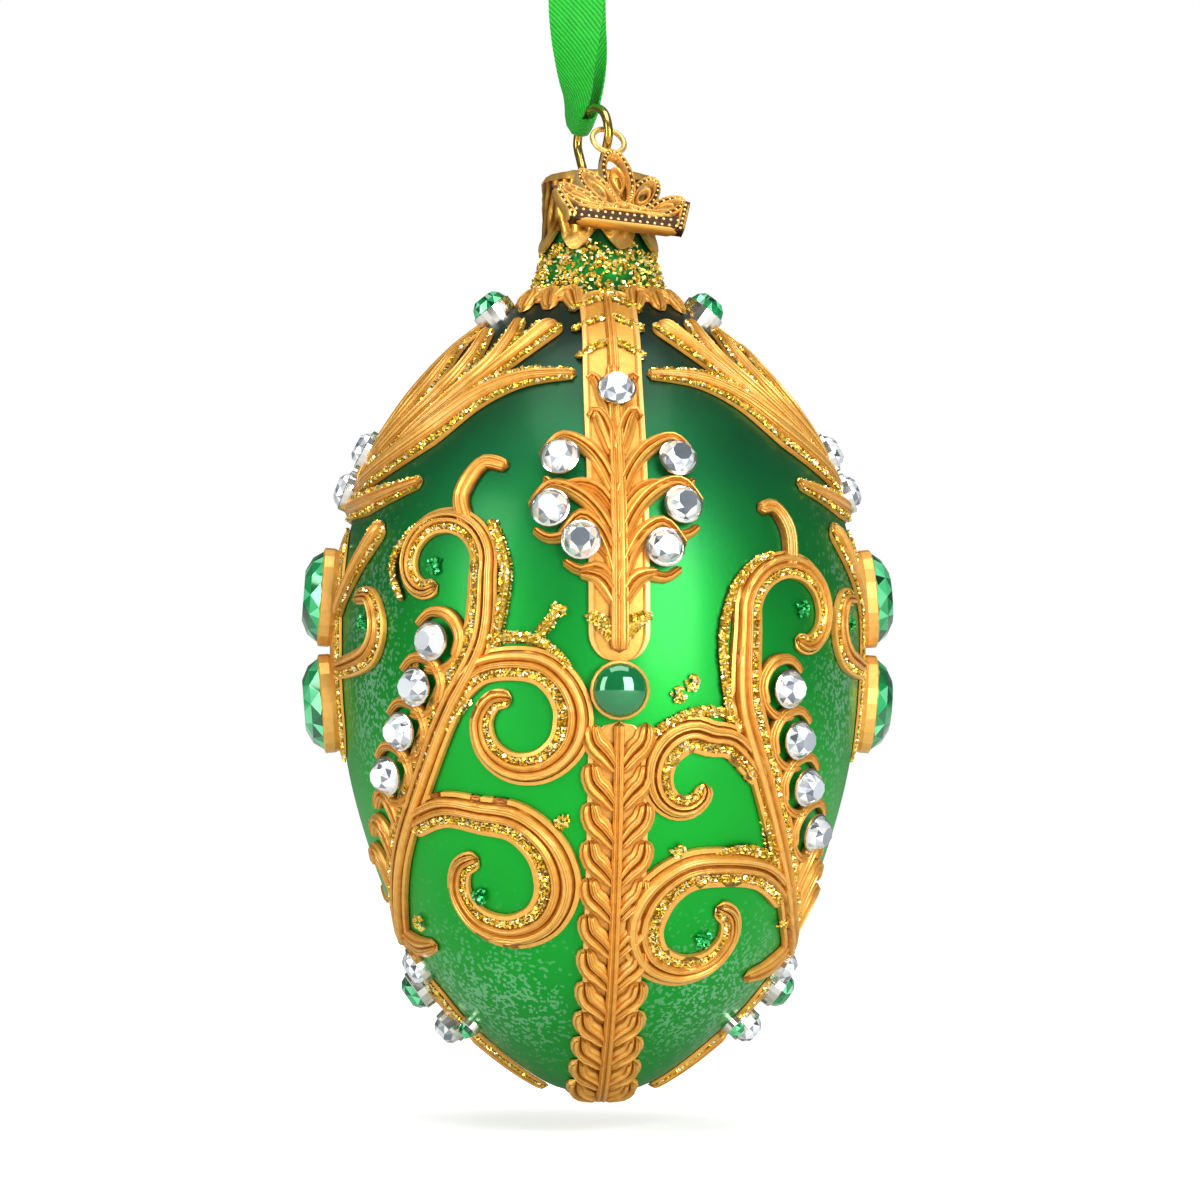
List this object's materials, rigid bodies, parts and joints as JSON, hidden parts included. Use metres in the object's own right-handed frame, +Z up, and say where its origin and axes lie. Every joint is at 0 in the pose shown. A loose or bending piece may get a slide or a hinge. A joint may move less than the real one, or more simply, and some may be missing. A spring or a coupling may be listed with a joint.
{
  "type": "jewelled egg ornament",
  "caption": "Hollow green glass egg that hangs from a ribbon, with gilt scrolls and leaves in relief, clear and green stones, a toothed cap and a crown charm.",
  "frame": {"origin": "inside top of the ribbon's loop, where the egg hangs from a hook", "axes": "+Z up, towards the hook; -Y is the way the band of leaves faces; +X is to the right of it"},
  "size_m": [0.0642, 0.0618, 0.1368],
  "materials": {
    "green_lacquered_glass": "satin metallic lacquer",
    "gilt_relief": "gilt paint with glitter",
    "clear_glass_stone": "faceted, foil backed",
    "green_glass_stone": "faceted, foil backed",
    "gilt_cap": "bright gilt, wrinkled",
    "brass_wire": "polished",
    "antique_gold_charm": "antique gold, dark recesses",
    "green_satin_ribbon": "satin weave"
  },
  "bodies": {
    "root": {"glass_egg": "green_lacquered_glass", "front_leaf_spray": "gilt_relief", "front_leaf_garland": "gilt_relief", "front_left_scrollwork": "gilt_relief", "front_right_scrollwork": "gilt_relief", "front_cabochon": "green_glass_stone", "front_top_stone": "clear_glass_stone", "front_left_spray_stone_1": "clear_glass_stone", "front_left_spray_stone_2": "clear_glass_stone", "front_left_spray_stone_3": "clear_glass_stone", "front_left_scroll_stone_1": "clear_glass_stone", "front_left_scroll_stone_2": "clear_glass_stone", "front_left_scroll_stone_3": "clear_glass_stone", "front_left_scroll_stone_4": "clear_glass_stone", "front_right_spray_stone_1": "clear_glass_stone", "front_right_spray_stone_2": "clear_glass_stone", "front_right_spray_stone_3": "clear_glass_stone", "front_right_scroll_stone_1": "clear_glass_stone", "front_right_scroll_stone_2": "clear_glass_stone", "front_right_scroll_stone_3": "clear_glass_stone", "front_right_scroll_stone_4": "clear_glass_stone", "back_leaf_spray": "gilt_relief", "back_leaf_garland": "gilt_relief", "back_left_scrollwork": "gilt_relief", "back_right_scrollwork": "gilt_relief", "back_cabochon": "green_glass_stone", "back_top_stone": "clear_glass_stone", "back_left_spray_stone_1": "clear_glass_stone", "back_left_spray_stone_2": "clear_glass_stone", "back_left_spray_stone_3": "clear_glass_stone", "back_left_scroll_stone_1": "clear_glass_stone", "back_left_scroll_stone_2": "clear_glass_stone", "back_left_scroll_stone_3": "clear_glass_stone", "back_left_scroll_stone_4": "clear_glass_stone", "back_right_spray_stone_1": "clear_glass_stone", "back_right_spray_stone_2": "clear_glass_stone", "back_right_spray_stone_3": "clear_glass_stone", "back_right_scroll_stone_1": "clear_glass_stone", "back_right_scroll_stone_2": "clear_glass_stone", "back_right_scroll_stone_3": "clear_glass_stone", "back_right_scroll_stone_4": "clear_glass_stone", "left_plume": "gilt_relief", "left_setting_plate": "gilt_relief", "left_upper_emerald": "green_glass_stone", "left_lower_emerald": "green_glass_stone", "left_lower_drop": "gilt_relief", "left_green_octagon": "green_glass_stone", "left_clear_drop": "clear_glass_stone", "right_plume": "gilt_relief", "right_setting_plate": "gilt_relief", "right_upper_emerald": "green_glass_stone", "right_lower_emerald": "green_glass_stone", "right_lower_drop": "gilt_relief", "right_green_octagon": "green_glass_stone", "right_clear_drop": "clear_glass_stone", "ornament_cap": "gilt_cap", "hanger_wire": "brass_wire", "crown_charm": "antique_gold_charm", "ribbon": "green_satin_ribbon"}
  },
  "joints": []
}
